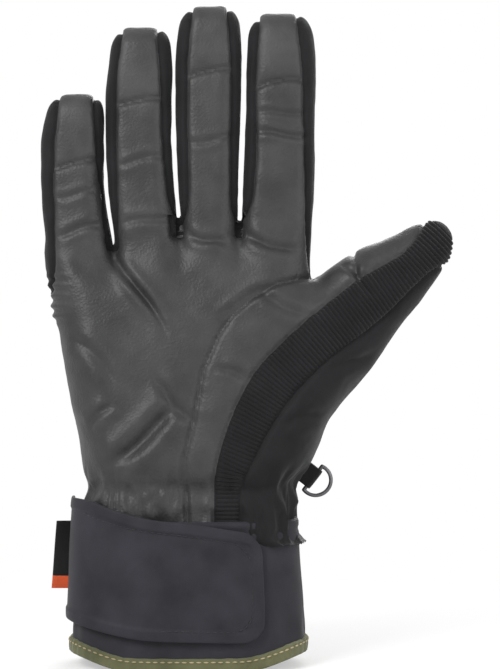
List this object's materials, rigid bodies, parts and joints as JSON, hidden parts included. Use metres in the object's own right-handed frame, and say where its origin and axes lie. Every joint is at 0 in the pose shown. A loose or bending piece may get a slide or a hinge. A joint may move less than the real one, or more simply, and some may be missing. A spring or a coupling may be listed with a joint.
{
  "type": "ski glove",
  "caption": "Insulated right-hand ski glove with a short cuff: leather palm, fabric back, ribbed thumb panel, wrist strap and clip ring; stands on its hem.",
  "frame": {"origin": "centre of the cuff mouth, level with the lowest part of the hem", "axes": "+Z from the hem to the fingertips, +X to the thumb side, -Y is the palm side"},
  "size_m": [0.1744, 0.0666, 0.28],
  "materials": {
    "leather_palm": "matte goat leather, grained",
    "leather_patch": "matte reinforcing leather",
    "shell_nylon": "woven nylon",
    "fourchette_knit": "stretch knit",
    "rib_knit": "ribbed stretch knit",
    "softshell": "smooth softshell",
    "binding": "olive woven binding with pale stitches",
    "strap": "rubberised fabric",
    "hook": "hook tape",
    "loop": "loop tape",
    "label": "woven label, plain black with an orange-red end",
    "webbing": "woven tape",
    "metal": "dark plated wire",
    "insulation": "fibre wadding",
    "membrane": "thin waterproof film",
    "lining": "brushed tricot",
    "elastic": "woven elastic"
  },
  "bodies": {
    "glove": {"palm_panel": "leather_palm", "back_panel": "shell_nylon", "finger_base_fourchettes": "fourchette_knit", "thumb_leather": "leather_palm", "thumb_rib_panel": "rib_knit", "thumb_back": "shell_nylon", "thumb_liner": "lining", "palm_insulation": "insulation", "back_insulation": "insulation", "membrane_insert": "membrane", "lining": "lining", "wrist_elastic": "elastic", "cuff_front": "softshell", "cuff_back": "shell_nylon", "cuff_lining": "lining", "hem_binding": "binding", "loop_patch": "loop", "clip_webbing": "webbing"},
    "little_end": {"little_front": "leather_palm", "little_back": "shell_nylon", "little_fourchettes": "fourchette_knit", "little_tip_patch": "leather_patch", "little_liner": "lining"},
    "ring_end": {"ring_front": "leather_palm", "ring_back": "shell_nylon", "ring_fourchettes": "fourchette_knit", "ring_tip_patch": "leather_patch", "ring_liner": "lining"},
    "middle_end": {"middle_front": "leather_palm", "middle_back": "shell_nylon", "middle_fourchettes": "fourchette_knit", "middle_tip_patch": "leather_patch", "middle_liner": "lining"},
    "index_end": {"index_front": "leather_palm", "index_back": "shell_nylon", "index_fourchettes": "fourchette_knit", "index_tip_patch": "leather_patch", "index_liner": "lining"},
    "thumb_end": {"thumb_tip_patch": "leather_palm", "thumb_tip_rib": "rib_knit", "thumb_tip_back": "shell_nylon", "thumb_tip_liner": "lining"},
    "strap": {"wrist_strap": "strap", "hook_patch": "hook"},
    "label": {"side_label": "label"},
    "ring": {"d_ring": "metal"}
  },
  "joints": [
    {"name": "little_bend", "type": "hinge", "parent": "glove", "child": "little_end", "pos_m": [-0.04643, -0.002, 0.19997], "axis": [0.9989, 0, 0.0471], "range_deg": [0, 75], "stiffness_Nm_per_rad": 0.03},
    {"name": "ring_bend", "type": "hinge", "parent": "glove", "child": "ring_end", "pos_m": [-0.01936, -0.002, 0.21596], "axis": [0.9991, 0, 0.0419], "range_deg": [0, 75], "stiffness_Nm_per_rad": 0.03},
    {"name": "middle_bend", "type": "hinge", "parent": "glove", "child": "middle_end", "pos_m": [0.0092, -0.002, 0.222], "axis": [1, 0, 0], "range_deg": [0, 75], "stiffness_Nm_per_rad": 0.03},
    {"name": "index_bend", "type": "hinge", "parent": "glove", "child": "index_end", "pos_m": [0.03888, -0.002, 0.21998], "axis": [0.9996, 0, -0.0279], "range_deg": [0, 75], "stiffness_Nm_per_rad": 0.03},
    {"name": "thumb_bend", "type": "hinge", "parent": "glove", "child": "thumb_end", "pos_m": [0.07971, -0.00364, 0.15944], "axis": [0.5587, -0.5736, -0.5991], "range_deg": [0, 50], "stiffness_Nm_per_rad": 0.04},
    {"name": "strap_peel", "type": "hinge", "parent": "glove", "child": "strap", "pos_m": [-0.05121, 0, 0.04], "axis": [-0.0548, 0, -0.9985], "range_deg": [0, 98], "stiffness_Nm_per_rad": 0.01},
    {"name": "label_flap", "type": "hinge", "parent": "glove", "child": "label", "pos_m": [-0.04833, 0.0032, 0.045], "axis": [-0.0548, 0, -0.9985], "range_deg": [-20, 40], "stiffness_Nm_per_rad": 0.002},
    {"name": "d_ring_swing", "type": "hinge", "parent": "glove", "child": "ring", "pos_m": [0.05331, 0.003, 0.07888], "axis": [0.6157, 0, 0.788], "range_deg": [-80, 80]}
  ]
}
